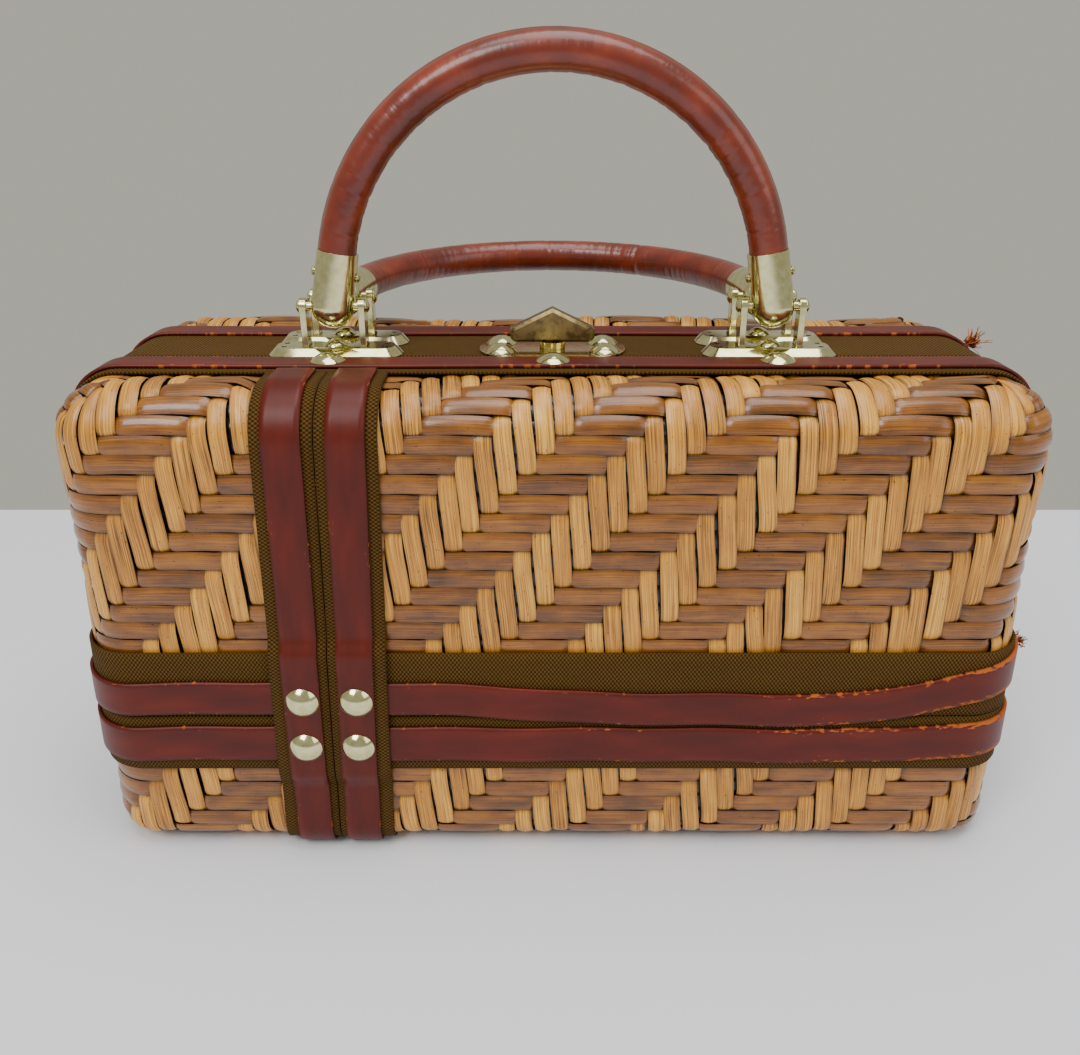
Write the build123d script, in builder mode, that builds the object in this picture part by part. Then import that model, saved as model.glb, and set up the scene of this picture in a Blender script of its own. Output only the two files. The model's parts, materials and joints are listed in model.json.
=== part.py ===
"""Woven cane box bag: two half shells hinged along the base, a wide webbing
panel that carries a turn lock and two swing handles, and leather straps.

Origin: centre of the base on the table. +X along the bag, +Y to the back, +Z up.
"""
from build123d import *
import math
import os

os.makedirs("parts", exist_ok=True)

# ---------------- woven box ----------------
top_width = 309.0
base_width = 320.0
box_depth = 118.0
cane_top = 169.0          # height of the cane's outer face at the top
wall = 4.0                # woven cane, both strands together
corner_radius = 18.0      # upright corners
shoulder_radius = 15.0    # top edges
base_radius = 9.0         # bottom edges
split_y = -13.5           # plane where the front half meets the back half
shell_gap = 0.4           # each half stops this far from the split plane

# ---------------- layers on and in the cane ----------------
layer_gap = 0.1
webbing_thickness = 1.0
leather_thickness = 1.2
frame_thickness = 1.5
lining_thickness = 0.8
edge_gap = 0.8            # webbing, frame and lining edges from the split plane

webbing_low = layer_gap
webbing_high = webbing_low + webbing_thickness
leather_low = webbing_high + layer_gap
leather_high = leather_low + leather_thickness
cane_base = leather_high  # the leather strips touch the table
frame_outer = -(wall + layer_gap)
frame_inner = frame_outer - frame_thickness
lining_outer = frame_inner - layer_gap
lining_inner = lining_outer - lining_thickness

# ---------------- trims round the split ----------------
front_rim_width = 19.5
front_leather_start = 5.5   # from the split plane to the leather strip
rim_leather_width = 11.0
panel_width = 29.7          # from the split plane to the back leather strip
back_margin = 4.5           # webbing behind the back leather strip
front_frame_width = 15.0
back_frame_width = 27.0

# ---------------- belts and straps ----------------
belt_low = 36.6             # height of the lower webbing's lower edge
lower_belt_width = 21.4
upper_belt_width = 24.0
belt_seam = 0.6
lower_leather_offset = 4.4  # from the lower webbing's lower edge
lower_leather_width = 13.5
upper_leather_offset = 1.2
upper_leather_width = 12.2
strap_top_x = -71.5         # middle of the strap pair at the top
strap_base_x = -75.8
strap_width = 19.0
strap_seam = 0.4
strap_leather_width = 12.0
leather_base_offset = 8.5   # the leather strips draw together towards the base
strap_end_gap = 0.3         # a strap or belt stops this far from the rim webbing

# ---------------- studs and rivets ----------------
stud_radius = 5.5
stud_height = 2.6
stud_shank = 1.2
shank_clearance = 0.1
rivet_radius = 3.8
rivet_height = 2.2
lock_rivet_radius = 5.2

# ---------------- handle hardware ----------------
hardware_x = 73.0
pin_rise = 17.0             # the handle pins above the cane's top
plate_front_margin = 1.25   # from the front leather strip to the front plates
plate_spacing = 0.5         # between the front and back plates
plate_back_margin = 0.45    # from the back plates to the back leather strip
plate_length = 45.0
plate_height = 2.6
plate_seat = 0.3            # above the webbing
plate_end_flat = 0.75       # straight part left at each side of a plate's end
scoop_radius = 20.0
scoop_angle = 30.0
post_gap = 1.5              # from the ferrule's ball to a post
post_thickness = 2.2
post_depth = 5.5
bracket_base = 1.2
slot_clearance = 0.2
screw_hole_radius = 0.9
screw_hole_x = 17.0
screw_hole_y = 2.6
pin_radius = 1.6
pin_clearance = 0.05
pin_head_radius = 2.5
pin_head_height = 1.4
ball_wall = 1.0             # the ferrule's ball outside the handle's end
ferrule_wall = 0.6
ferrule_length = 18.0       # from the pin to the ferrule's mouth
ferrule_socket = 7.0        # from the pin to the socket's floor
ferrule_lean = 10.0         # degrees, inwards
ferrule_rivet_height = 10.5
ferrule_rivet_radius = 1.0
ferrule_rivet_head = 1.7
handle_radius = 6.1
cover_thickness = 2.4
core_clearance = 0.1
socket_clearance = 0.05
back_handle_fall = 88.0     # degrees from upright

# ---------------- turn lock ----------------
lock_y = -5.0
lock_plate_length = 49.5
lock_plate_depth = 26.0
lock_plate_sheet = 0.8
lock_rivet_x = 17.5
lock_rivet_y = 5.9          # keeps the front pair of holes inside the webbing's edge
collar_radius = 4.4
collar_height = 2.2
spindle_radius = 2.6
spindle_clearance = 0.05
knob_width = 28.7
knob_side = 4.4
knob_peak = 11.3
knob_thickness = 6.0
knob_round = 2.2
keeper_thickness = 1.2
keeper_width = 26.0
keeper_length = 13.0
keeper_edge = 1.2           # from the split plane
cam_clearance = 0.6
cam_thickness = 1.5
cam_length = 17.0
cam_width = 9.0

# ---------------- base hinges ----------------
hinge_x = 90.0
hinge_length = 30.0
hinge_knuckle = 10.0        # the front leaf's middle knuckle
hinge_axis_z = 1.9
barrel_radius = 1.5
hinge_pin_radius = 0.8
hinge_pin_clearance = 0.05
leaf_thickness = 0.7
leaf_depth = 9.0
leaf_rise = 0.6             # the leaf's underside above the axis
leaf_clearance = 0.1
knuckle_gap = 0.2
barrel_clearance = 0.4

# ---------------- worked out ----------------
reach = 400.0               # larger than the bag, for cutting blocks
pin_z = cane_top + pin_rise
ball_radius = handle_radius + ball_wall
ferrule_top_radius = handle_radius + ferrule_wall
plate_room = front_leather_start + panel_width - plate_front_margin - plate_back_margin
plate_depth = (plate_room - plate_spacing) / 2
front_handle_y = split_y - front_leather_start + plate_front_margin + plate_depth / 2
back_handle_y = split_y + panel_width - plate_back_margin - plate_depth / 2
plate_end_radius = plate_depth / 2 - plate_end_flat
post_spacing = 2 * (ball_radius + post_gap) + post_thickness
panel_top = cane_top + webbing_high
plate_base = panel_top + plate_seat
plate_top = plate_base + plate_height
inner_top = cane_top + lining_inner
frame_bottom = cane_top + frame_inner
front_leather_end = front_leather_start + rim_leather_width
back_leather_end = panel_width + rim_leather_width
front_edge_y = split_y - front_rim_width
back_edge_y = split_y + back_leather_end + back_margin
belt_split = belt_low + lower_belt_width
belt_high = belt_split + belt_seam + upper_belt_width
lower_leather_z = belt_low + lower_leather_offset + lower_leather_width / 2
upper_leather_z = belt_split + belt_seam + upper_leather_offset + upper_leather_width / 2
hole_radius = stud_shank + shank_clearance
front_stud_y = split_y - front_leather_start - rim_leather_width / 2
pair_offset = (strap_width + strap_seam) / 2
plates = [("front_left", -1, front_handle_y), ("front_right", 1, front_handle_y)]
plates += [("back_left", -1, back_handle_y), ("back_right", 1, back_handle_y)]
rim_studs_x = [-hardware_x, 0.0, hardware_x]


def strap_x(height, side, base_offset):
    """Middle of one strap of the pair at a height; side is -1 or 1."""
    share = (height - cane_base) / (cane_top - cane_base)
    middle = strap_base_x + (strap_top_x - strap_base_x) * share
    return middle + side * (base_offset + (pair_offset - base_offset) * share)


def block(x0, x1, y0, y1, z0, z1):
    """A plain cutting block between two corners."""
    with BuildPart() as solid:
        with Locations(((x0 + x1) / 2, (y0 + y1) / 2, (z0 + z1) / 2)):
            Box(x1 - x0, y1 - y0, z1 - z0)
    return solid.part


forms = {}


def form(grow):
    """The box's rounded, slightly flared outer form, grown by a distance."""
    key = round(grow, 4)
    if key not in forms:
        base_half = base_width / 2 + grow
        top_half = top_width / 2 + grow
        low = cane_base - grow
        high = cane_top + grow
        with BuildPart() as solid:
            with BuildSketch(Plane.XZ.offset(-box_depth / 2 - grow)):
                corners = [(-base_half, low), (base_half, low), (top_half, high), (-top_half, high)]
                Polygon(*corners, align=None)
            extrude(amount=box_depth + 2 * grow)
            uprights = solid.edges().filter_by(Axis.X, reverse=True).filter_by(Axis.Y, reverse=True)
            fillet(uprights, corner_radius + grow)
            fillet(solid.faces().sort_by(Axis.Z)[-1].edges(), shoulder_radius + grow)
            fillet(solid.faces().sort_by(Axis.Z)[0].edges(), base_radius + grow)
        forms[key] = solid.part
    return forms[key]


def ring(low, high, y0, y1, z0=-reach, z1=reach):
    """A layer that hugs the box between two growths, cut to a slab."""
    with BuildPart() as layer:
        add(form(high))
        add(block(-reach, reach, y0, y1, z0, z1), mode=Mode.INTERSECT)
        add(form(low), mode=Mode.SUBTRACT)
    return layer.part


def top_holes(places, radius):
    """Upright holes through the top wall at a list of (x, y)."""
    bottom = inner_top - wall
    height = plate_top + wall - bottom
    with Locations([(x, y, bottom + height / 2) for x, y in places]):
        Cylinder(radius, height, mode=Mode.SUBTRACT)


def front_holes(places, radius):
    """Holes along Y through the front wall at a list of (x, z)."""
    with Locations([Location((x, -box_depth / 2, z), (-90, 0, 0)) for x, z in places]):
        Cylinder(radius, 6 * wall, mode=Mode.SUBTRACT)


plate_rivet_places = [(side * hardware_x, y) for name, side, y in plates]
lock_rivet_places = [
    (i * lock_rivet_x, lock_y + j * lock_rivet_y) for i in (-1, 1) for j in (-1, 1)
]
rim_stud_places = [(x, front_stud_y) for x in rim_studs_x]
crossing_places = [
    (strap_x(z, side, leather_base_offset), z)
    for side in (-1, 1)
    for z in (lower_leather_z, upper_leather_z)
]
hinge_places = (-hinge_x, hinge_x)


def panel_holes():
    """What the back half's top wall, webbing and frame all need."""
    top_holes(plate_rivet_places + lock_rivet_places, hole_radius)
    top_holes([(0, lock_y)], spindle_radius + 2 * shank_clearance)


def hinge_room(outward):
    """Notches for the barrels and pockets for the leaves of one half."""
    span = hinge_length / 2 + barrel_clearance
    room = barrel_radius + barrel_clearance
    leaf_top = hinge_axis_z + leaf_rise + leaf_thickness + leaf_clearance
    leaf_end = split_y + outward * (leaf_depth + barrel_clearance)
    y0, y1 = sorted((split_y, leaf_end))
    for x in hinge_places:
        barrel = block(x - span, x + span, split_y - room, split_y + room, -reach, hinge_axis_z + room)
        leaf = block(x - span, x + span, y0, y1, cane_base - layer_gap / 2, leaf_top)
        add(barrel, mode=Mode.SUBTRACT)
        add(leaf, mode=Mode.SUBTRACT)


def save(piece, name):
    """Label a finished piece and write its STEP file."""
    piece.label = name
    export_step(piece, "parts/" + name + ".step")


# ---------------- half shells of woven cane ----------------
with BuildPart() as front_shell:
    add(ring(-wall, 0, -reach, split_y - shell_gap))
    top_holes(rim_stud_places, hole_radius)
    front_holes(crossing_places, hole_radius)
    hinge_room(-1)
save(front_shell.part, "front_shell")

with BuildPart() as back_shell:
    add(ring(-wall, 0, split_y + shell_gap, reach))
    panel_holes()
    hinge_room(1)
save(back_shell.part, "back_shell")

# ---------------- bent wood frames inside the rims, and the linings ----------------
with BuildPart() as front_rim_frame:
    add(ring(frame_inner, frame_outer, split_y - front_frame_width, split_y - edge_gap))
    top_holes(rim_stud_places, hole_radius)
save(front_rim_frame.part, "front_rim_frame")

with BuildPart() as back_rim_frame:
    add(ring(frame_inner, frame_outer, split_y + edge_gap, split_y + back_frame_width))
    panel_holes()
save(back_rim_frame.part, "back_rim_frame")

with BuildPart() as front_lining:
    add(ring(lining_inner, lining_outer, -reach, split_y - edge_gap))
    top_holes([(0, front_stud_y)], hole_radius)
save(front_lining.part, "front_lining")

with BuildPart() as back_lining:
    add(ring(lining_inner, lining_outer, split_y + edge_gap, reach))
    top_holes([(0, lock_y)], spindle_radius + 2 * shank_clearance)
save(back_lining.part, "back_lining")

# ---------------- webbing and leather round the rims ----------------
with BuildPart() as front_rim_webbing:
    add(ring(webbing_low, webbing_high, front_edge_y, split_y - edge_gap))
    top_holes(rim_stud_places, hole_radius)
    hinge_room(-1)
save(front_rim_webbing.part, "front_rim_webbing")

with BuildPart() as back_rim_webbing:
    add(ring(webbing_low, webbing_high, split_y + edge_gap, back_edge_y))
    panel_holes()
    hinge_room(1)
save(back_rim_webbing.part, "back_rim_webbing")

with BuildPart() as front_rim_leather:
    leather_y0 = split_y - front_leather_end
    leather_y1 = split_y - front_leather_start
    add(ring(leather_low, leather_high, leather_y0, leather_y1))
    top_holes(rim_stud_places, hole_radius)
save(front_rim_leather.part, "front_rim_leather")

with BuildPart() as back_rim_leather:
    leather_y0 = split_y + panel_width
    leather_y1 = split_y + back_leather_end
    add(ring(leather_low, leather_high, leather_y0, leather_y1))
save(back_rim_leather.part, "back_rim_leather")

# ---------------- belts round the lower part ----------------
front_span = (-reach, front_edge_y - strap_end_gap)
back_span = (back_edge_y + strap_end_gap, reach)
halves = [("front", front_span), ("back", back_span)]
upper_webbing = (belt_split + belt_seam, belt_high)
lower_webbing = (belt_low, belt_split)
upper_leather = (upper_leather_z - upper_leather_width / 2, upper_leather_z + upper_leather_width / 2)
lower_leather = (lower_leather_z - lower_leather_width / 2, lower_leather_z + lower_leather_width / 2)
belt_pieces = [
    ("belt_webbing_upper", webbing_low, webbing_high, upper_webbing),
    ("belt_webbing_lower", webbing_low, webbing_high, lower_webbing),
    ("belt_leather_upper", leather_low, leather_high, upper_leather),
    ("belt_leather_lower", leather_low, leather_high, lower_leather),
]
for half, (y0, y1) in halves:
    for name, low, high, (z0, z1) in belt_pieces:
        with BuildPart() as belt:
            add(ring(low, high, y0, y1, z0, z1))
            if half == "front":
                front_holes(crossing_places, hole_radius)
        save(belt.part, half + "_" + name)

# ---------------- upright straps on the front, which step over the belts ----------------
belt_stack = leather_high


def stepped_layer(low, high, zone_low, zone_high, y0, y1):
    """A layer that lies on the cane and rises over the belts between two heights."""
    step = high - low
    with BuildPart() as layer:
        add(ring(low, high, y0, y1, -reach, zone_low))
        add(ring(low, high, y0, y1, zone_high, reach))
        add(ring(low, high + belt_stack, y0, y1, zone_low - step, zone_low))
        add(ring(low, high + belt_stack, y0, y1, zone_high, zone_high + step))
        add(ring(low + belt_stack, high + belt_stack, y0, y1, zone_low - step, zone_high + step))
    return layer.part


def strap_prism(side, width, base_offset):
    """The slanted upright band of one strap, cut right through the box."""
    top = cane_top + reach / 10
    low = cane_base - reach / 10
    with BuildPart() as prism:
        with BuildSketch(Plane.XZ.offset(-reach / 2)):
            low_x = strap_x(low, side, base_offset)
            top_x = strap_x(top, side, base_offset)
            half = width / 2
            corners = [(low_x - half, low), (low_x + half, low), (top_x + half, top), (top_x - half, top)]
            Polygon(*corners, align=None)
        extrude(amount=reach)
    return prism.part


webbing_zone = (belt_low - layer_gap, belt_high + layer_gap)
leather_step = webbing_thickness + layer_gap
leather_zone = (webbing_zone[0] - leather_step, webbing_zone[1] + leather_step)
strap_layers = [
    ("strap_webbing", webbing_low, webbing_high, webbing_zone, strap_width, pair_offset),
    ("strap_leather", leather_low, leather_high, leather_zone, strap_leather_width, leather_base_offset),
]
for name, low, high, (zone_low, zone_high), width, base_offset in strap_layers:
    layer = stepped_layer(low, high, zone_low, zone_high, *front_span)
    for side, side_name in ((-1, "left"), (1, "right")):
        with BuildPart() as strap:
            add(layer)
            add(strap_prism(side, width, base_offset), mode=Mode.INTERSECT)
            front_holes(crossing_places, hole_radius)
        save(strap.part, "front_" + name + "_" + side_name)


# ---------------- studs ----------------
def domed_rivet(radius, height, shank, length):
    """A domed head on Z = 0 with its shank below."""
    sphere_radius = (radius ** 2 + height ** 2) / (2 * height)
    with BuildPart() as rivet:
        with Locations((0, 0, height - sphere_radius)):
            Sphere(sphere_radius)
        add(block(-reach, reach, -reach, reach, 0, reach), mode=Mode.INTERSECT)
        with Locations((0, 0, -length / 2)):
            Cylinder(shank, length)
    return rivet.part


head_z = cane_top + leather_high + layer_gap
rim_stud = domed_rivet(stud_radius, stud_height, stud_shank, head_z - frame_bottom)
keeper_bottom = inner_top - layer_gap - keeper_thickness
keeper_stud = domed_rivet(stud_radius, stud_height, stud_shank, head_z - keeper_bottom)
with BuildPart() as rim_studs:
    with Locations([(x, front_stud_y, head_z) for x in (-hardware_x, hardware_x)]):
        add(rim_stud)
    with Locations((0, front_stud_y, head_z)):
        add(keeper_stud)
save(rim_studs.part, "rim_studs")

crossing_head = leather_high + belt_stack + layer_gap
crossing_stud = domed_rivet(stud_radius, stud_height, stud_shank, crossing_head + wall)
with BuildPart() as front_crossing_studs:
    head_y = -(box_depth / 2 + crossing_head)
    with Locations([Location((x, head_y, z), (90, 0, 0)) for x, z in crossing_places]):
        add(crossing_stud)
save(front_crossing_studs.part, "front_crossing_studs")


# ---------------- handle plates, brackets, rivets and pins ----------------
def handle_plate():
    """A cast plate: bevelled edges, a scoop each side of its rivet, a pocket and two slots."""
    rise = math.radians(scoop_angle)
    with BuildPart() as plate:
        with BuildSketch():
            RectangleRounded(plate_length, plate_depth, plate_end_radius)
        extrude(amount=plate_height, taper=45)
        pocket_x = post_spacing + post_thickness + 2 * slot_clearance
        pocket_y = post_depth + 2 * slot_clearance
        Box(pocket_x, pocket_y, 2 * (bracket_base + slot_clearance), mode=Mode.SUBTRACT)
        for outward in (-1, 1):
            axis_y = outward * (plate_depth / 2 + scoop_radius * math.sin(rise))
            axis_z = scoop_radius * math.cos(rise)
            along = (0, -outward * math.cos(rise), math.sin(rise))
            with Locations(Plane(origin=(0, axis_y, axis_z), z_dir=along)):
                Cylinder(scoop_radius, 2 * plate_depth, mode=Mode.SUBTRACT)
        with Locations([(i * post_spacing / 2, 0, plate_height / 2) for i in (-1, 1)]):
            Box(post_thickness + 2 * slot_clearance, pocket_y, 2 * plate_height, mode=Mode.SUBTRACT)
        holes = [(i * screw_hole_x, j * screw_hole_y, 0) for i in (-1, 1) for j in (-1, 1)]
        with Locations(holes):
            Cylinder(screw_hole_radius, 4 * plate_height, mode=Mode.SUBTRACT)
        Cylinder(hole_radius, 4 * plate_height, mode=Mode.SUBTRACT)
    return plate.part


def bracket():
    """A U of strip brass: its base lies in the pocket and its posts hold the pin."""
    width = post_spacing + post_thickness
    rise = pin_z - plate_base
    with BuildPart() as strip:
        with Locations((0, 0, bracket_base / 2)):
            Box(width, post_depth, bracket_base)
        with Locations([(i * post_spacing / 2, 0, rise / 2) for i in (-1, 1)]):
            Box(post_thickness, post_depth, rise)
        with Locations([Location((i * post_spacing / 2, 0, rise), (0, 90, 0)) for i in (-1, 1)]):
            Cylinder(post_depth / 2, post_thickness)
        with Locations(Location((0, 0, rise), (0, 90, 0))):
            Cylinder(pin_radius + pin_clearance, 2 * width, mode=Mode.SUBTRACT)
        Cylinder(hole_radius, 4 * bracket_base, mode=Mode.SUBTRACT)
    return strip.part


def pivot_pin():
    """The cross pin with a domed head outside each post, about the origin along X."""
    half = (post_spacing + post_thickness) / 2 + shank_clearance
    with BuildPart() as pin:
        with Locations(Location((0, 0, 0), (0, 90, 0))):
            Cylinder(pin_radius, 2 * half)
        for outward in (-1, 1):
            with Locations(Location((outward * half, 0, 0), (0, outward * 90, 0))):
                add(domed_rivet(pin_head_radius, pin_head_height, pin_radius, half))
    return pin.part


plate_shape = handle_plate()
bracket_shape = bracket()
for name, side, y in plates:
    with BuildPart() as handle_plate_part:
        with Locations((side * hardware_x, y, plate_base)):
            add(plate_shape)
    save(handle_plate_part.part, "handle_plate_" + name)
    with BuildPart() as bracket_part:
        with Locations((side * hardware_x, y, plate_base)):
            add(bracket_shape)
    save(bracket_part.part, "handle_bracket_" + name)

with BuildPart() as pivot_pins:
    with Locations([(side * hardware_x, y, pin_z) for name, side, y in plates]):
        add(pivot_pin())
save(pivot_pins.part, "pivot_pins")

rivet_z = plate_top + layer_gap
plate_rivet = domed_rivet(rivet_radius, rivet_height, stud_shank, rivet_z - frame_bottom)
with BuildPart() as plate_rivets:
    with Locations([(x, y, rivet_z) for x, y in plate_rivet_places]):
        add(plate_rivet)
save(plate_rivets.part, "plate_rivets")


# ---------------- handles, modelled upright about their own pin ----------------
lean = math.radians(ferrule_lean)
foot_x = hardware_x - ferrule_length * math.sin(lean)
foot_z = ferrule_length * math.cos(lean)
arch_radius = foot_x / math.cos(lean)
arch_z = foot_z - arch_radius * math.sin(lean)
start_x = hardware_x - (ferrule_socket + layer_gap) * math.sin(lean)
start_z = (ferrule_socket + layer_gap) * math.cos(lean)
handle_rise = arch_z + arch_radius


def handle_tube(outer, inner):
    """A round tube along the handle's line, from socket floor to socket floor."""
    with BuildPart() as tube:
        with BuildLine(Plane.XZ):
            Line((-start_x, start_z), (-foot_x, foot_z))
            ThreePointArc((-foot_x, foot_z), (0, handle_rise), (foot_x, foot_z))
            Line((foot_x, foot_z), (start_x, start_z))
        start = Plane(origin=(-start_x, 0, start_z), z_dir=(math.sin(lean), 0, math.cos(lean)))
        with BuildSketch(start):
            Circle(outer)
            if inner > 0:
                Circle(inner, mode=Mode.SUBTRACT)
        sweep()
        rivet_bores(ferrule_rivet_radius + socket_clearance)
    return tube.part


def rivet_places(side):
    """Where a ferrule's cross rivet lies, square to the ferrule."""
    x = side * (hardware_x - ferrule_rivet_height * math.sin(lean))
    z = ferrule_rivet_height * math.cos(lean)
    return Location((x, 0, z), (0, 90 - side * ferrule_lean, 0))


def rivet_bores(radius):
    """Cross bores for both ferrule rivets."""
    with Locations(rivet_places(-1), rivet_places(1)):
        Cylinder(radius, 4 * ball_radius, mode=Mode.SUBTRACT)


def ferrule(side):
    """A drawn brass cap: ball foot on the pin, socket for the handle's end."""
    with BuildPart() as cap:
        with Locations(Location((side * hardware_x, 0, 0), (0, -side * ferrule_lean, 0))):
            Sphere(ball_radius)
            upward = (Align.CENTER, Align.CENTER, Align.MIN)
            Cone(ball_radius, ferrule_top_radius, ferrule_length, align=upward)
        socket = Location((side * hardware_x, 0, 0), (0, -side * ferrule_lean, 0))
        with Locations(socket * Location((0, 0, ferrule_socket))):
            Cylinder(handle_radius + socket_clearance, ferrule_length, align=upward, mode=Mode.SUBTRACT)
        with Locations(Location((side * hardware_x, 0, 0), (0, 90, 0))):
            Cylinder(pin_radius + pin_clearance, 4 * ball_radius, mode=Mode.SUBTRACT)
        with Locations(rivet_places(side)):
            Cylinder(ferrule_rivet_radius + socket_clearance, 4 * ball_radius, mode=Mode.SUBTRACT)
    return cap.part


def ferrule_rivet():
    """A small cross rivet along Z with a flat domed head at each end."""
    half = ball_radius + layer_gap / 2
    with BuildPart() as rivet:
        Cylinder(ferrule_rivet_radius, 2 * half)
        for turn in (0, 180):
            with Locations(Location((0, 0, 0), (turn, 0, 0)) * Location((0, 0, half))):
                add(domed_rivet(ferrule_rivet_head, ferrule_rivet_radius, ferrule_rivet_radius, half))
    return rivet.part


cover_shape = handle_tube(handle_radius, handle_radius - cover_thickness)
core_shape = handle_tube(handle_radius - cover_thickness - core_clearance, 0)
handles = [("front", front_handle_y, 0.0), ("back", back_handle_y, -back_handle_fall)]
for half, y, tilt in handles:
    seat = Location((0, y, pin_z), (tilt, 0, 0))
    with BuildPart() as cover:
        with Locations(seat):
            add(cover_shape)
    save(cover.part, half + "_handle_cover")
    with BuildPart() as core:
        with Locations(seat):
            add(core_shape)
    save(core.part, half + "_handle_core")
    for side, side_name in ((-1, "left"), (1, "right")):
        with BuildPart() as cap:
            with Locations(seat):
                add(ferrule(side))
        save(cap.part, half + "_ferrule_" + side_name)
    with BuildPart() as rivets:
        with Locations(seat * rivet_places(-1), seat * rivet_places(1)):
            add(ferrule_rivet())
    save(rivets.part, half + "_ferrule_rivets")

# ---------------- turn lock ----------------
with BuildPart() as lock_plate:
    with BuildSketch(Plane.XY.offset(plate_base)):
        with Locations((0, lock_y)):
            RectangleRounded(lock_plate_length, lock_plate_depth, lock_plate_depth / 2 - 1)
    extrude(amount=lock_plate_sheet)
    top_holes(lock_rivet_places, hole_radius)
    top_holes([(0, lock_y)], spindle_radius + spindle_clearance)
save(lock_plate.part, "lock_plate")

lock_plate_top = plate_base + lock_plate_sheet
lock_rivet_z = lock_plate_top + layer_gap
lock_rivet = domed_rivet(lock_rivet_radius, stud_height, stud_shank, lock_rivet_z - frame_bottom)
with BuildPart() as lock_rivets:
    with Locations([(x, y, lock_rivet_z) for x, y in lock_rivet_places]):
        add(lock_rivet)
save(lock_rivets.part, "lock_rivets")

cam_top = keeper_bottom - cam_clearance
cam_bottom = cam_top - cam_thickness
knob_base = lock_plate_top + spindle_clearance + collar_height
with BuildPart() as lock_spindle:
    with BuildSketch(Plane.XY.offset(cam_top)):
        with Locations((0, lock_y)):
            Circle(spindle_radius)
    extrude(amount=lock_plate_top + spindle_clearance - cam_top)
    with BuildSketch(Plane.XY.offset(lock_plate_top + spindle_clearance)):
        with Locations((0, lock_y)):
            Circle(collar_radius)
    extrude(amount=collar_height)
save(lock_spindle.part, "lock_spindle")

with BuildPart() as lock_knob:
    with BuildSketch(Plane.XZ.offset(-lock_y - knob_thickness / 2)) as knob_sketch:
        half = knob_width / 2
        outline = [
            (-half, knob_base),
            (half, knob_base),
            (half, knob_base + knob_side),
            (0, knob_base + knob_peak),
            (-half, knob_base + knob_side),
        ]
        Polygon(*outline, align=None)
        sides = [v for v in knob_sketch.vertices() if abs(v.X) > half - 1]
        fillet(sides, knob_round)
    extrude(amount=knob_thickness)
    chamfer(lock_knob.faces().sort_by(Axis.Y)[0].edges(), knob_thickness / 6)
    chamfer(lock_knob.faces().sort_by(Axis.Y)[-1].edges(), knob_thickness / 6)
save(lock_knob.part, "lock_knob")

with BuildPart() as lock_cam:
    with BuildSketch(Plane.XY.offset(cam_bottom)):
        with Locations((0, lock_y)):
            Circle(cam_width / 2)
        with Locations((0, lock_y - cam_length / 2)):
            Rectangle(cam_width, cam_length)
    extrude(amount=cam_thickness)
save(lock_cam.part, "lock_cam")

with BuildPart() as lock_keeper:
    keeper_y = split_y - keeper_edge - keeper_length / 2
    with BuildSketch(Plane.XY.offset(keeper_bottom)):
        with Locations((0, keeper_y)):
            RectangleRounded(keeper_width, keeper_length, 2)
    extrude(amount=keeper_thickness)
    top_holes([(0, front_stud_y)], hole_radius)
save(lock_keeper.part, "lock_keeper")


# ---------------- butt hinges along the base ----------------
def knuckle(x0, x1):
    """One length of barrel about the hinge axis."""
    with BuildPart() as barrel:
        with Locations(Location(((x0 + x1) / 2, split_y, hinge_axis_z), (0, 90, 0))):
            Cylinder(barrel_radius, x1 - x0)
    return barrel.part


def hinge_leaf(x, outward, spans):
    """A leaf under the cane with its knuckles."""
    leaf_z = hinge_axis_z + leaf_rise
    y0, y1 = sorted((split_y, split_y + outward * leaf_depth))
    flap_start = split_y + outward * (barrel_radius + barrel_clearance)
    flap_y0, flap_y1 = sorted((flap_start, split_y + outward * leaf_depth))
    with BuildPart() as leaf:
        for x0, x1 in spans:
            add(knuckle(x0, x1))
            add(block(x0, x1, y0, y1, leaf_z, leaf_z + leaf_thickness))
        half = hinge_length / 2
        add(block(x - half, x + half, flap_y0, flap_y1, leaf_z, leaf_z + leaf_thickness))
        with Locations(Location((x, split_y, hinge_axis_z), (0, 90, 0))):
            bore = hinge_pin_radius + hinge_pin_clearance
            Cylinder(bore, 2 * hinge_length, mode=Mode.SUBTRACT)
    return leaf.part


with BuildPart() as front_hinge_leaves:
    for x in hinge_places:
        middle = hinge_knuckle / 2 - knuckle_gap
        add(hinge_leaf(x, -1, [(x - middle, x + middle)]))
save(front_hinge_leaves.part, "front_hinge_leaves")

with BuildPart() as back_hinge_leaves:
    for x in hinge_places:
        inner, outer = hinge_knuckle / 2, hinge_length / 2
        add(hinge_leaf(x, 1, [(x - outer, x - inner), (x + inner, x + outer)]))
save(back_hinge_leaves.part, "back_hinge_leaves")

with BuildPart() as hinge_pins:
    with Locations([Location((x, split_y, hinge_axis_z), (0, 90, 0)) for x in hinge_places]):
        Cylinder(hinge_pin_radius, hinge_length)
save(hinge_pins.part, "hinge_pins")

print("handle pin height", pin_z, "handle top", pin_z + handle_rise + handle_radius)
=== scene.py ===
import json
import math
import random

import bmesh
import bpy
from mathutils import Matrix, Vector

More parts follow.
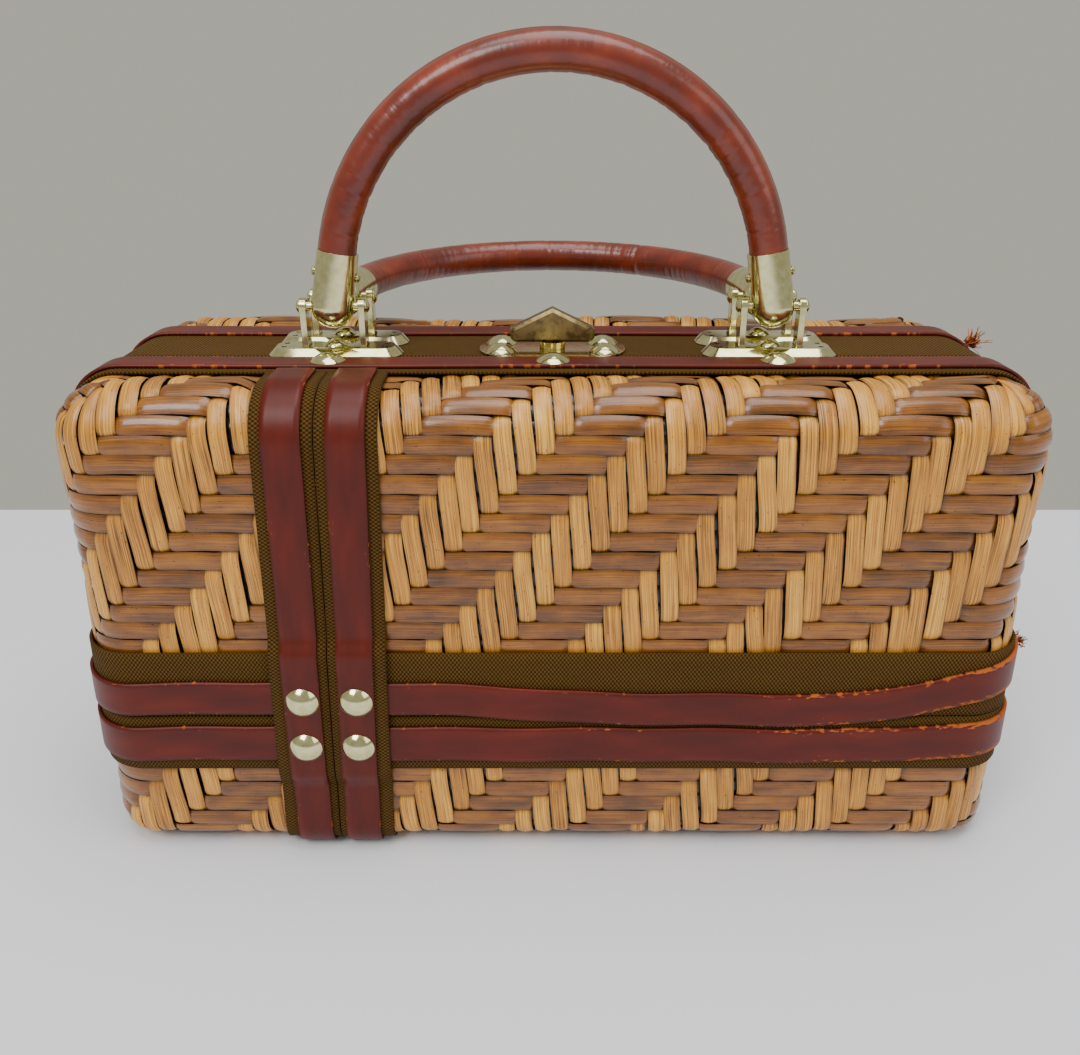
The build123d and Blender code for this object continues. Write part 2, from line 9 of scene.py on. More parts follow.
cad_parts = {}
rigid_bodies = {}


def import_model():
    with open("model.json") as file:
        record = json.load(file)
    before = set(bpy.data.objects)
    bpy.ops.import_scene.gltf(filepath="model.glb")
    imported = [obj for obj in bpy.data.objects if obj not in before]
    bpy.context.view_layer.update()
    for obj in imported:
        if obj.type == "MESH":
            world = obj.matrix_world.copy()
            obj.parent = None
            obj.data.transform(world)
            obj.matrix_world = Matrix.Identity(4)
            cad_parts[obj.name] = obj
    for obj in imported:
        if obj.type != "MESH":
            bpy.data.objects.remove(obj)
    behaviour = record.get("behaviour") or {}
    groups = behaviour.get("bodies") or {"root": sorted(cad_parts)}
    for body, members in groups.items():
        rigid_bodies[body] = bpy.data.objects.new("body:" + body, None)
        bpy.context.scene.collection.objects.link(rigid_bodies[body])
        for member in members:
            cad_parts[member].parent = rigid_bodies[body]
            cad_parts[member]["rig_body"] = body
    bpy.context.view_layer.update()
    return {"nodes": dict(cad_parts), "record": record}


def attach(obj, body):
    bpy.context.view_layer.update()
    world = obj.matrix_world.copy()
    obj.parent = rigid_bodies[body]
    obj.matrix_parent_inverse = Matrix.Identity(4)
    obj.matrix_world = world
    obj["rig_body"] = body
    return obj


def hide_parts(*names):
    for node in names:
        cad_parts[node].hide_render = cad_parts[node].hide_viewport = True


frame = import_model()
print("stage: frame loaded")

mm = 0.001
dice = random.Random(11)

camera = {"place": (-4.2, -334.0, 250.0), "tilt": 66.0, "turn": 0.0, "lens": 32.37, "sensor": 36.0}

cameraData = bpy.data.cameras.new("bagCamera")
cameraData.lens = camera["lens"]
cameraData.sensor_width = camera["sensor"]
cameraObject = bpy.data.objects.new("bagCamera", cameraData)
cameraObject.location = Vector(camera["place"]) * mm
cameraObject.rotation_euler = (math.radians(camera["tilt"]), 0, math.radians(camera["turn"]))
bpy.context.scene.collection.objects.link(cameraObject)
bpy.context.scene.camera = cameraObject

# the box that everything lies on, in millimetres
box = {
    "topHalf": 154.5,
    "baseHalf": 160.0,
    "depthHalf": 59.0,
    "top": 169.0,
    "base": 2.4,
    "corner": 18.0,
    "shoulder": 15.0,
    "foot": 9.0,
    "split": -13.5,
}
flatHalf = (box["topHalf"] + box["baseHalf"]) / 2 - box["corner"]  # straight part of the front, halved
cornerArc = box["corner"] * math.pi / 2
footArc = box["foot"] * math.pi / 2
faceStart = box["base"] + box["foot"]
faceHeight = box["top"] - box["shoulder"] - faceStart
shoulderStart = footArc + faceHeight
topStart = shoulderStart + box["shoulder"] * math.pi / 2


def halfWidth(z):
    share = (z - box["base"]) / (box["top"] - box["base"])
    return box["baseHalf"] + (box["topHalf"] - box["baseHalf"]) * share


def smoothStep(low, high, value):
    share = min(max((value - low) / (high - low), 0.0), 1.0)
    return share * share * (3 - 2 * share)


def section(v, grow):  # how far in from the face and how high, at a distance v up the box's side
    foot, shoulder = box["foot"], box["shoulder"]
    if v < 0:
        return foot - v, box["base"] - grow
    if v < footArc:
        turn = v / foot
        return foot - (foot + grow) * math.sin(turn), faceStart - (foot + grow) * math.cos(turn)
    if v < shoulderStart:
        return -grow, faceStart + v - footArc
    if v < topStart:
        turn = (v - shoulderStart) / shoulder
        rise = (shoulder + grow) * math.sin(turn)
        return shoulder - (shoulder + grow) * math.cos(turn), faceStart + faceHeight + rise
    return shoulder + v - topStart, box["top"] + grow


def facePoint(side, x, v, grow):  # a point on the front (-1) or back (1), straight above its x
    inset, z = section(v, grow)
    return Vector((x, side * (box["depthHalf"] - inset), z))


def wrapPoint(side, s, v, grow):  # the same, with s running on round the upright corners
    inset, z = section(v, grow)
    centreX = halfWidth(z) - box["corner"]
    centreY = box["depthHalf"] - box["corner"]
    run = abs(s)
    if run <= flatHalf:
        x, y = run / flatHalf * centreX, box["depthHalf"] - inset
    elif run <= flatHalf + cornerArc:
        turn = (run - flatHalf) / box["corner"]
        radius = max(box["corner"] - inset, 0.8)
        x, y = centreX + radius * math.sin(turn), centreY + radius * math.cos(turn)
    else:
        x, y = halfWidth(z) - inset, centreY - (run - flatHalf - cornerArc)
    return Vector((math.copysign(x, s), side * y, z))


def heightToRun(z):
    return footArc + z - faceStart


def srgb(code):  # a hex colour made linear
    parts = [int(code[i : i + 2], 16) / 255 for i in (1, 3, 5)]
    return tuple(p / 12.92 if p <= 0.04045 else ((p + 0.055) / 1.055) ** 2.4 for p in parts) + (1.0,)


def addNode(tree, kind, inputs=None, **settings):
    node = tree.nodes.new(kind)
    for key, value in settings.items():
        setattr(node, key, value)
    for key, value in (inputs or {}).items():
        if isinstance(value, bpy.types.NodeSocket):
            tree.links.new(value, node.inputs[key])
        else:
            node.inputs[key].default_value = value
    return node


def newMaterial(name, **sockets):
    material = bpy.data.materials.new(name)
    material.use_nodes = True
    tree = material.node_tree
    shader = tree.nodes["Principled BSDF"]
    for key, value in sockets.items():
        shader.inputs[key.replace("_", " ")].default_value = value
    return material, tree, shader


def fill(ramp, stops):
    while len(ramp.color_ramp.elements) < len(stops):
        ramp.color_ramp.elements.new(0.5)
    for element, (place, colour) in zip(ramp.color_ramp.elements, stops):
        element.position = place
        element.color = srgb(colour)
    return ramp.outputs["Color"]


def bumped(tree, shader, height, strength, distance):
    sockets = {"Height": height, "Strength": strength, "Distance": distance * mm}
    bump = addNode(tree, "ShaderNodeBump", sockets)
    tree.links.new(bump.outputs["Normal"], shader.inputs["Normal"])


# UV maps hold millimetres: x across the piece, y along it
def runCoordinates(tree, across, along, turn=0.0):
    uv = addNode(tree, "ShaderNodeUVMap", uv_map="UVMap")
    sockets = {"Vector": uv.outputs["UV"], "Scale": (across, along, 1), "Rotation": (0, 0, turn)}
    return addNode(tree, "ShaderNodeMapping", sockets).outputs["Vector"]


def splitCane(name, stops, roughness, coat, grainDepth):
    # split cane: long pale fibres, a satin or varnished skin, painted shade where it dives under and along
    # its edges
    material, tree, shader = newMaterial(name, Roughness=roughness, Coat_Weight=coat, Coat_Roughness=0.12)
    fibre = addNode(tree, "ShaderNodeTexNoise", {"Vector": runCoordinates(tree, 3.2, 0.035), "Scale": 1.0})
    fibre.inputs["Detail"].default_value = 5
    blotch = addNode(tree, "ShaderNodeTexNoise", {"Vector": runCoordinates(tree, 0.2, 0.09), "Scale": 1.0})
    tone = addNode(tree, "ShaderNodeAttribute", attribute_name="tone").outputs["Fac"]
    paintedShadeLift = addNode(tree, "ShaderNodeAttribute", attribute_name="paintedShadeLift").outputs["Fac"]
    part = addNode(tree, "ShaderNodeMath", {0: tone, 1: 0.3, 2: -0.85}, operation="MULTIPLY_ADD").outputs[0]
    grain = {0: fibre.outputs["Fac"], 1: grainDepth, 2: part}
    streaks = addNode(tree, "ShaderNodeMath", grain, operation="MULTIPLY_ADD").outputs[0]
    mottle = {0: blotch.outputs["Fac"], 1: 2.4 - grainDepth, 2: streaks}
    total = addNode(tree, "ShaderNodeMath", mottle, operation="MULTIPLY_ADD").outputs[0]
    colour = fill(addNode(tree, "ShaderNodeValToRGB", {"Fac": total}), stops)
    # painted shade: the cane's colour is multiplied darker where the strand dives under the weave and
    # towards its edges
    shade = fill(addNode(tree, "ShaderNodeValToRGB", {"Fac": paintedShadeLift}), [(0.0, "#33200f"), (0.8, "#ffffff")])
    speckNoise = {"Vector": runCoordinates(tree, 1.6, 0.7), "Scale": 1.0, "Detail": 2.0}
    speck = addNode(tree, "ShaderNodeTexNoise", speckNoise).outputs["Fac"]
    speckStops = [(0.27, "#7a5638"), (0.33, "#ffffff")]
    dots = fill(addNode(tree, "ShaderNodeValToRGB", {"Fac": speck}), speckStops)
    first = addNode(tree, "ShaderNodeMix", data_type="RGBA", blend_type="MULTIPLY")
    second = addNode(tree, "ShaderNodeMix", data_type="RGBA", blend_type="MULTIPLY")
    for mix, a, b in ((first, colour, shade), (second, first.outputs[2], dots)):
        mix.inputs[0].default_value = 1.0
        tree.links.new(a, mix.inputs[6])
        tree.links.new(b, mix.inputs[7])
    tree.links.new(second.outputs[2], shader.inputs["Base Color"])
    bumped(tree, shader, fibre.outputs["Fac"], 0.35, 0.25)
    return material


def cottonWebbing():
    # coarse cotton webbing: yarns that cross on the slant about 1 mm apart, dull, dark between them
    material, tree, shader = newMaterial("olive cotton webbing", Roughness=0.9)
    shader.inputs["Specular IOR Level"].default_value = 0.2
    slants = []
    for turn in (0.95, -0.95):
        yarns = {"Vector": runCoordinates(tree, 1, 1, turn), "Scale": 0.3, "Distortion": 0.5, "Detail": 1.0}
        wave = addNode(tree, "ShaderNodeTexWave", yarns)
        wave.bands_direction = "X"
        slants.append(wave.outputs["Fac"])
    cloth = addNode(tree, "ShaderNodeMath", {0: slants[0], 1: slants[1]}, operation="ADD").outputs[0]
    fading = addNode(tree, "ShaderNodeTexNoise", {"Vector": runCoordinates(tree, 0.06, 0.03), "Scale": 1.0})
    mixed = {0: fading.outputs["Fac"], 1: 0.25, 2: cloth}
    total = addNode(tree, "ShaderNodeMath", mixed, operation="MULTIPLY_ADD").outputs[0]
    level = addNode(tree, "ShaderNodeMapRange", {"Value": total, "From Min": 0.1, "From Max": 2.1})
    stops = [(0.1, "#1d1203"), (0.5, "#49300a"), (0.9, "#654812")]
    colour = fill(addNode(tree, "ShaderNodeValToRGB", {"Fac": level.outputs["Result"]}), stops)
    tree.links.new(colour, shader.inputs["Base Color"])
    bumped(tree, shader, cloth, 0.6, 0.35)
    return material


def strapLeather():
    # glazed oxblood leather strip: smooth glaze, fine grain, cracked to orange hide where the edge is worn
    material, tree, shader = newMaterial("oxblood strap leather")
    shader.inputs["Specular IOR Level"].default_value = 0.3
    grain = addNode(tree, "ShaderNodeTexNoise", {"Vector": runCoordinates(tree, 1.1, 0.8), "Scale": 1.0})
    grain.inputs["Detail"].default_value = 6
    patch = addNode(tree, "ShaderNodeTexNoise", {"Vector": runCoordinates(tree, 0.12, 0.03), "Scale": 1.0})
    base = fill(
        addNode(tree, "ShaderNodeValToRGB", {"Fac": patch.outputs["Fac"]}),
        [(0.3, "#460d03"), (0.55, "#561204"), (0.75, "#641a07")],
    )
    wear = addNode(tree, "ShaderNodeAttribute", attribute_name="wear").outputs["Fac"]
    crackNoise = {"Vector": runCoordinates(tree, 0.9, 0.35), "Scale": 1.0, "Detail": 8.0}
    crack = addNode(tree, "ShaderNodeTexNoise", crackNoise).outputs["Fac"]
    worn = addNode(tree, "ShaderNodeMath", {0: wear, 1: 0.35, 2: crack}, operation="MULTIPLY_ADD").outputs[0]
    mask = addNode(tree, "ShaderNodeMapRange", {"Value": worn, "From Min": 0.74, "From Max": 0.8})
    mix = addNode(tree, "ShaderNodeMix", data_type="RGBA")
    tree.links.new(mask.outputs["Result"], mix.inputs[0])
    tree.links.new(base, mix.inputs[6])
    mix.inputs[7].default_value = srgb("#a8551c")
    tree.links.new(mix.outputs[2], shader.inputs["Base Color"])
    rough = {"Value": mask.outputs["Result"], "To Min": 0.42, "To Max": 0.85}
    tree.links.new(addNode(tree, "ShaderNodeMapRange", rough).outputs["Result"], shader.inputs["Roughness"])
    bumped(tree, shader, grain.outputs["Fac"], 0.2, 0.15)
    return material


def handleLeather():
    # glazed leather rolled round a cord: glossy, creased across where it bends
    material, tree, shader = newMaterial("rolled handle leather", Roughness=0.36, Coat_Weight=0.3)
    shader.inputs["Coat Roughness"].default_value = 0.16
    crease = addNode(tree, "ShaderNodeTexNoise", {"Vector": runCoordinates(tree, 0.13, 0.75), "Scale": 1.0})
    crease.inputs["Detail"].default_value = 7
    crease.inputs["Distortion"].default_value = 0.6
    patch = addNode(tree, "ShaderNodeTexNoise", {"Vector": runCoordinates(tree, 0.1, 0.06), "Scale": 1.0})
    base = fill(
        addNode(tree, "ShaderNodeValToRGB", {"Fac": patch.outputs["Fac"]}),
        [(0.3, "#541404"), (0.55, "#6e1f07"), (0.75, "#84300e")],
    )
    tree.links.new(base, shader.inputs["Base Color"])
    bumped(tree, shader, crease.outputs["Fac"], 0.45, 0.3)
    return material


def polishedMetal(name, light, dark, roughness):
    # stamped or cast brass, polished and handled: fine scratches and a little dulling in patches
    material, tree, shader = newMaterial(name, Metallic=1.0)
    spot = addNode(tree, "ShaderNodeTexCoord").outputs["Object"]
    haze = addNode(tree, "ShaderNodeTexNoise", {"Vector": spot, "Scale": 420.0, "Detail": 3.0})
    turn = {"Vector": spot, "Rotation": (0.3, 0.5, 0.7), "Scale": (2600, 180, 900)}
    lines = addNode(tree, "ShaderNodeMapping", turn).outputs["Vector"]
    scratch = addNode(tree, "ShaderNodeTexNoise", {"Vector": lines, "Scale": 1.0, "Detail": 2.0})
    stops = [(0.35, dark), (0.6, light)]
    colour = fill(addNode(tree, "ShaderNodeValToRGB", {"Fac": haze.outputs["Fac"]}), stops)
    tree.links.new(colour, shader.inputs["Base Color"])
    dull = {"Value": haze.outputs["Fac"], "To Min": roughness * 0.7, "To Max": roughness * 1.4}
    tree.links.new(addNode(tree, "ShaderNodeMapRange", dull).outputs["Result"], shader.inputs["Roughness"])
    bumped(tree, shader, scratch.outputs["Fac"], 0.12, 0.05)
    return material


def plainFinish(name, light, dark, roughness, scale, metallic=0.0):
    # hidden or plain parts: even colour with a slow mottle and a fine tooth
    material, tree, shader = newMaterial(name, Roughness=roughness, Metallic=metallic)
    spot = addNode(tree, "ShaderNodeTexCoord").outputs["Object"]
    mottle = addNode(tree, "ShaderNodeTexNoise", {"Vector": spot, "Scale": scale, "Detail": 6.0})
    stops = [(0.3, dark), (0.7, light)]
    colour = fill(addNode(tree, "ShaderNodeValToRGB", {"Fac": mottle.outputs["Fac"]}), stops)
    tree.links.new(colour, shader.inputs["Base Color"])
    bumped(tree, shader, mottle.outputs["Fac"], 0.3, 0.2)
    return material


lightStops = [(0.05, "#5e3a10"), (0.32, "#a86d20"), (0.6, "#cd8d2f"), (0.95, "#eab34d")]
brownStops = [(0.1, "#452706"), (0.5, "#7d4708"), (0.9, "#a06413")]
bareCane = splitCane("bare split cane", lightStops, 0.42, 0.12, 2.0)
varnishedCane = splitCane("varnished brown cane", brownStops, 0.3, 0.35, 1.5)
webbing = cottonWebbing()
leather = strapLeather()
rolledLeather = handleLeather()
giltBrass = polishedMetal("pale gilt brass", "#dcd7a8", "#cdc68f", 0.13)
yellowBrass = polishedMetal("polished yellow brass", "#d6c481", "#bfa75a", 0.16)
antiqueBrass = polishedMetal("dark antique brass", "#8b7850", "#69583a", 0.27)
plainSteel = plainFinish("plain steel", "#a8a8a2", "#86867f", 0.35, 90.0, 1.0)
liningCloth = plainFinish("lining cloth", "#8f7752", "#7d6743", 0.92, 700.0)
bentWood = plainFinish("bent wood", "#8d6a41", "#6f4f2c", 0.6, 60.0)
darkWall = plainFinish("shaded inner cane", "#2f1e11", "#1d120a", 0.9, 120.0)
print("stage: materials made")


def startMesh():
    bm = bmesh.new()
    bm.loops.layers.uv.new("UVMap")
    # the second layer holds painted shade for the cane: 1 leaves the colour as it is, lower values darken it
    for name in ("tone", "paintedShadeLift", "wear"):
        bm.verts.layers.float.new(name)
    return bm


def addGrid(bm, stepsX, stepsY, place, turned=False):
    # place takes shares of 0 to 1 and gives a point, its UV and its marks, all in millimetres
    layers = [bm.verts.layers.float[name] for name in ("tone", "paintedShadeLift", "wear")]
    uvLayer = bm.loops.layers.uv["UVMap"]
    made = bmesh.ops.create_grid(bm, x_segments=stepsX, y_segments=stepsY, size=0.5)["verts"]
    spots = {}
    for vert in made:
        point, uv, marks = place(vert.co.x + 0.5, vert.co.y + 0.5)
        vert.co = point * mm
        spots[vert] = uv
        for layer, value in zip(layers, marks):
            vert[layer] = value
    faces = {face for vert in made for face in vert.link_faces}
    for face in faces:
        for loop in face.loops:
            loop[uvLayer].uv = spots[loop.vert]
    if turned:
        bmesh.ops.reverse_faces(bm, faces=list(faces))


def finishPiece(bm, name, material, body, nodes=(), thickness=0.0, edge=0.0):
    mesh = bpy.data.meshes.new(name)
    bm.to_mesh(mesh)
    bm.free()
    piece = bpy.data.objects.new(name, mesh)
    bpy.context.scene.collection.objects.link(piece)
    mesh.materials.append(material)
    for polygon in mesh.polygons:
        polygon.use_smooth = True
    if thickness:
        wall = piece.modifiers.new("thickness", "SOLIDIFY")
        wall.thickness = thickness * mm
        wall.offset = -1
    if edge:
        bevel = piece.modifiers.new("softEdge", "BEVEL")
        bevel.width = edge * mm
        bevel.segments = 2
        bevel.limit_method = "ANGLE"
        bevel.angle_limit = math.radians(40)
    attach(piece, body)
    if nodes:
        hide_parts(*nodes)
    return piece


halves = {"front": (-1, "front_half"), "back": (1, "back_half")}

# four over, four under, each column one row higher than the one to its left
weave = {
    "rowPitch": 6.4,
    "rowStart": 2.9,
    "columnPitch": 5.8,
    "columnStart": -44.0,
    "lightWidth": 5.7,
    "brownWidth": 6.25,
    "over": -0.55,
    "under": -2.5,
    "crown": 0.6,
    "ramp": 0.42,
    "bulge": 0.3,
    "lean": 0.9,
    "bow": 0.5,
    "reach": 180.0,
    "lowRow": -3,
    "highRow": 29,
    "lowEnd": {"front": -19.0, "side": -6.0},
    "pastTop": {"front": 13, "side": 3, "corner": 2.2},
    "lastRoundRow": 2.5,
}


def floatRise(phase):  # 1 on top of the weave, 0 below it; phase is 0 at the middle of a float
    away = abs((phase + 4) % 8 - 4)
    rise = smoothStep(0, 1, (2 + weave["ramp"] - away) / (2 * weave["ramp"]))
    return rise, max(0.0, 1 - away * away / 4) * weave["bulge"]


def strandDepth(phase, across):
    rise, bulge = floatRise(phase)
    depth = weave["under"] + (weave["over"] - weave["under"]) * rise + bulge
    return depth - weave["crown"] * across * across, rise


# how far the cane stands proud of the box, and where, in millimetres
proud = {
    "corner": 1.2,
    "cornerSpread": 15,
    "cornerFrom": 110,
    "front": 1.8,
    "back": 3.2,
    "shoulderFrom": 8,
    "fade": (4, 11),
    "strapMiddle": -72.5,
    "besideStraps": (21, 27),
}


def puff(side, s, v):  # the upper corners and shoulders stand a little proud, but not under the straps
    fromCorner = (abs(s) - flatHalf - cornerArc / 2) / proud["cornerSpread"]
    corner = proud["corner"] * math.exp(-fromCorner * fromCorner)
    corner *= smoothStep(proud["cornerFrom"], shoulderStart, v)
    if abs(s) > flatHalf:
        return corner
    wave = 0.7 + 0.3 * math.sin(s / 21)
    fadeStart, fadeEnd = proud["fade"]
    fade = 1 - smoothStep(topStart + fadeStart, topStart + fadeEnd, v)
    height = proud["back"]
    if side < 0:
        height = proud["front"] * smoothStep(*proud["besideStraps"], abs(s - proud["strapMiddle"]))
    return corner + height * wave * smoothStep(shoulderStart + proud["shoulderFrom"], topStart, v) * fade


def lightStrands(side):
    bm = startMesh()
    first = math.ceil((-weave["reach"] - weave["columnStart"]) / weave["columnPitch"])
    last = math.floor((weave["reach"] - weave["columnStart"]) / weave["columnPitch"])
    for column in range(first, last + 1):
        middle = weave["columnStart"] + weave["columnPitch"] * column
        inCorner = flatHalf < abs(middle) < flatHalf + cornerArc
        zone = "side" if abs(middle) > flatHalf else "front"
        low = weave["lowEnd"][zone]
        high = topStart + weave["pastTop"]["corner" if inCorner else zone]
        tones = [dice.random() for _ in range(8)]
        shift = dice.uniform(-0.35, 0.35)
        lean = weave["lean"] * (1 - 1.6 * smoothStep(60, 150, middle)) * dice.uniform(0.6, 1.3)

        def place(x, y):
            v = low + (high - low) * y
            across = 2 * x - 1
            phase = (v - weave["rowStart"]) / weave["rowPitch"] - column - 2.5
            depth, rise = strandDepth(phase, across)
            slide = shift - lean * math.sin(phase * math.pi / 4)
            s = middle + slide + across * weave["lightWidth"] / 2
            tone = tones[int((phase + 4) // 8) % 8]
            point = wrapPoint(side, s, v, depth + puff(side, s, v))
            uv = (across * weave["lightWidth"] / 2 + column * 17, v)
            # the second mark paints shade: darker where the strand dives under, and along its edges
            return point, uv, (tone, rise * (1 - 0.5 * across ** 6), 0.0)

        addGrid(bm, 4, round((high - low) / weave["rowPitch"] * 5), place, side > 0)
    return bm


def brownStrands(side):
    bm = startMesh()
    for row in range(weave["lowRow"], weave["highRow"] + 1):
        middle = weave["rowStart"] + weave["rowPitch"] * row
        onFlat = middle < 0 or middle > topStart + weave["lastRoundRow"]
        reach = flatHalf + 3 if onFlat else weave["reach"]
        tones = [dice.random() for _ in range(12)]
        shift = dice.uniform(-0.3, 0.3)

        def place(x, y):
            s = reach * (2 * x - 1)
            across = 2 * y - 1
            phase = row - (s - weave["columnStart"]) / weave["columnPitch"] - 6.5
            depth, rise = strandDepth(phase, across)
            slide = shift + weave["bow"] * math.cos(phase * math.pi / 4)
            v = middle + slide + across * weave["brownWidth"] / 2
            tone = tones[int((phase + 4) // 8) % 12]
            point = wrapPoint(side, s, v, depth + puff(side, s, v))
            uv = (across * weave["brownWidth"] / 2 + row * 19, s)
            # the second mark paints shade: darker where the strand dives under, and along its edges
            return point, uv, (tone, rise * (1 - 0.5 * across ** 6), 0.0)

        addGrid(bm, round(2 * reach / weave["columnPitch"] * 4), 4, place, side > 0)
    return bm


def roundedBox(grow):
    bm = bmesh.new()
    bmesh.ops.create_cube(bm, size=2)
    low, high = box["base"] - grow, box["top"] + grow
    for vert in bm.verts:
        z = low if vert.co.z < 0 else high
        half = (box["baseHalf"] if vert.co.z < 0 else box["topHalf"]) + grow
        vert.co = Vector((vert.co.x * half, vert.co.y * (box["depthHalf"] + grow), z)) * mm
    style = {"affect": "EDGES", "profile": 0.5, "material": -1, "offset_type": "OFFSET"}
    uprights = [e for e in bm.edges if abs(e.verts[0].co.z - e.verts[1].co.z) > 0.05]
    bmesh.ops.bevel(bm, geom=uprights, offset=(box["corner"] + grow) * mm, segments=8, **style)
    for z, radius in ((high, box["shoulder"]), (low, box["foot"])):
        loop = [e for e in bm.edges if all(abs(v.co.z - z * mm) < 1e-5 for v in e.verts)]
        bmesh.ops.bevel(bm, geom=loop, offset=(radius + grow) * mm, segments=7, **style)
    return bm


def innerWall(side):
    bm = roundedBox(-2.9)
    cut = (box["split"] + side * 0.9) * mm
    geometry = bm.verts[:] + bm.edges[:] + bm.faces[:]
    plane = {"plane_co": (0, cut, 0), "plane_no": (0, -side, 0)}
    bmesh.ops.bisect_plane(bm, geom=geometry, clear_outer=True, **plane)
    return bm


for name, (side, body) in halves.items():
    finishPiece(lightStrands(side), name + "LightCane", bareCane, body, [name + "_shell"])
    finishPiece(brownStrands(side), name + "BrownCane", varnishedCane, body, [name + "_shell"])
    finishPiece(innerWall(side), name + "CaneWall", darkWall, body, [name + "_shell"], 1.1)
print("stage: cane woven")

# webbing and leather that run round the rims, as (low y, high y) in millimetres
rims = {
    "front_rim_webbing": {"span": (-33.0, -14.3), "grow": 1.1, "thick": 1.0, "body": "front_half"},
    "back_rim_webbing": {"span": (-12.7, 31.7), "grow": 1.1, "thick": 1.0, "body": "back_half"},
    "front_rim_leather": {"span": (-30.0, -19.0), "grow": 2.4, "thick": 1.2, "body": "front_half"},
    "back_rim_leather": {"span": (16.2, 27.2), "grow": 2.4, "thick": 1.2, "body": "back_half"},
}


def rimRoute(grow):  # the closed outline round the bag from the front, as points and lengths
    low, high = box["base"] - grow, box["top"] + grow
    foot, shoulder = box["foot"] + grow, box["shoulder"] + grow
    points = []
    corners = [
        (halfWidth(box["base"]) + grow, low, foot, -90),
        (halfWidth(box["top"]) + grow, high, shoulder, 0),
        (-halfWidth(box["top"]) - grow, high, shoulder, 90),
        (-halfWidth(box["base"]) - grow, low, foot, 180),
    ]
    for x, z, radius, start in corners:
        centre = Vector((x - math.copysign(radius, x), z + (radius if z < 50 else -radius)))
        for step in range(13):
            turn = math.radians(start + 90 * step / 12)
            points.append(centre + radius * Vector((math.cos(turn), math.sin(turn))))
    points.append(points[0])
    lengths = [0.0]
    for before, after in zip(points, points[1:]):
        lengths.append(lengths[-1] + (after - before).length)
    return points, lengths


def alongRoute(points, lengths, distance):
    index = 1
    while index < len(lengths) - 1 and lengths[index] < distance:
        index += 1
    span = lengths[index] - lengths[index - 1]
    share = (distance - lengths[index - 1]) / span
    return points[index - 1].lerp(points[index], share)


def rimTape(settings):
    points, lengths = rimRoute(settings["grow"])
    total = lengths[-1]
    y0, y1 = settings["span"]
    isLeather = settings["grow"] > 2
    bm = startMesh()

    def place(x, y):
        spot = alongRoute(points, lengths, total * x)
        across = 2 * y - 1
        wander = 0.35 * math.sin(total * x / 23) if isLeather else 0.0
        depth = Vector((spot.x, y0 + (y1 - y0) * y + wander, spot.y))
        wear = abs(across) ** 3 * (0.4 + 0.25 * math.sin(total * x / 17 + 1))
        return depth, ((y0 + (y1 - y0) * y), total * x), (0.5, 1.0, wear)

    addGrid(bm, 420, 8, place, True)
    bmesh.ops.remove_doubles(bm, verts=bm.verts, dist=0.02 * mm)
    return bm, total


for name, settings in rims.items():
    bm, total = rimTape(settings)
    isLeather = "leather" in name
    material = leather if isLeather else webbing
    slotName = "oxblood_leather" if isLeather else "olive_webbing"
    piece = finishPiece(bm, name + "_tape", material, settings["body"], [name], settings["thick"])
print("stage: rims wrapped")

# belts by height, and the upright straps that cross them
belts = {
    "belt_webbing_lower": {"span": (36.6, 58.0), "grow": 1.1, "thick": 1.0, "rise": 0.0, "sag": 0.0},
    "belt_webbing_upper": {"span": (58.6, 82.6), "grow": 1.1, "thick": 1.0, "rise": 0.0, "sag": 0.0},
    "belt_leather_lower": {"span": (41.0, 54.5), "grow": 2.4, "thick": 1.2, "rise": 1.5, "sag": 0.8},
    "belt_leather_upper": {"span": (59.8, 72.0), "grow": 2.4, "thick": 1.2, "rise": 8.5, "sag": 4.4},
}
straps = {
    "topX": -71.5,
    "baseX": -75.8,
    "topOffset": 9.7,
    "leatherBaseOffset": 8.5,
    "webbingWidth": 19.0,
    "leatherWidth": 12.0,
    "step": 2.4,
    "zone": (36.5, 82.7),
    "ramp": 7.0,
}
rimEdges = {-1: 33.3, 1: 32.0}  # where the belts and straps meet the rim webbing, from the middle


def beltTape(side, settings, isLeather):
    reach = flatHalf + cornerArc + box["depthHalf"] - box["corner"] - rimEdges[side]
    z0, z1 = settings["span"]
    bm = startMesh()

    def place(x, y):
        s = reach * (2 * x - 1)
        across = 2 * y - 1
        climb = settings["rise"] * smoothStep(95, 175, s)
        dip = settings["sag"] * smoothStep(-45, 30, s) * (1 - smoothStep(80, 165, s))
        z = z0 + (z1 - z0) * y + climb - dip
        if isLeather:
            z += 0.3 * math.sin(s / 19) + 0.25 * math.sin(s / 7)
        point = wrapPoint(side, s, heightToRun(z), settings["grow"])
        end = smoothStep(40, 165, s)
        wear = abs(across) ** 3 * (0.3 + 0.75 * end + 0.2 * math.sin(s / 11))
        return point, ((z1 - z0) * y, s), (0.5, 1.0, wear)

    addGrid(bm, 360, 8, place, side > 0)
    return bm, 2 * reach


def strapCentre(z, which, baseOffset):
    share = (z - box["base"]) / (box["top"] - box["base"])
    offset = baseOffset + (straps["topOffset"] - baseOffset) * share
    return straps["baseX"] + (straps["topX"] - straps["baseX"]) * share + which * offset


